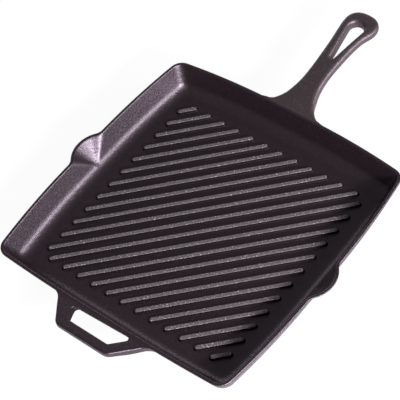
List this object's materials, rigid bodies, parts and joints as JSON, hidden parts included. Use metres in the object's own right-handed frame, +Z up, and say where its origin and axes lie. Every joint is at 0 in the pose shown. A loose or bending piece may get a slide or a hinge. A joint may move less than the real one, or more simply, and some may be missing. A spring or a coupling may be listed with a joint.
{
  "type": "square grill pan",
  "caption": "Square cast-iron grill pan with diagonal grill ribs, a pouring lip on each side, a long handle with a hanging hole and a loop-shaped helper handle.",
  "frame": {"origin": "centre of the pan on its flat resting face", "axes": "+Z up out of the pan, +Y along the long handle, +X through the right pouring lip"},
  "size_m": [0.2838, 0.4105, 0.0428],
  "materials": {
    "seasoned_iron": "seasoned, fine sand-cast grain, dull satin sheen",
    "rib_iron": "seasoned, coarser grain that catches the light on the crowns"
  },
  "bodies": {
    "root": {"griddle_plate": "seasoned_iron", "back_wall": "seasoned_iron", "front_wall": "seasoned_iron", "left_pouring_lip": "seasoned_iron", "right_pouring_lip": "seasoned_iron", "long_handle": "seasoned_iron", "helper_handle": "seasoned_iron", "grill_rib_01": "rib_iron", "grill_rib_02": "rib_iron", "grill_rib_03": "rib_iron", "grill_rib_04": "rib_iron", "grill_rib_05": "rib_iron", "grill_rib_06": "rib_iron", "grill_rib_07": "rib_iron", "grill_rib_08": "rib_iron", "grill_rib_09": "rib_iron", "grill_rib_10": "rib_iron", "grill_rib_11": "rib_iron", "grill_rib_12": "rib_iron", "grill_rib_13": "rib_iron", "grill_rib_14": "rib_iron", "grill_rib_15": "rib_iron", "grill_rib_16": "rib_iron", "grill_rib_17": "rib_iron", "grill_rib_18": "rib_iron", "grill_rib_19": "rib_iron", "grill_rib_20": "rib_iron", "grill_rib_21": "rib_iron", "grill_rib_22": "rib_iron", "grill_rib_23": "rib_iron", "grill_rib_24": "rib_iron"}
  },
  "joints": []
}
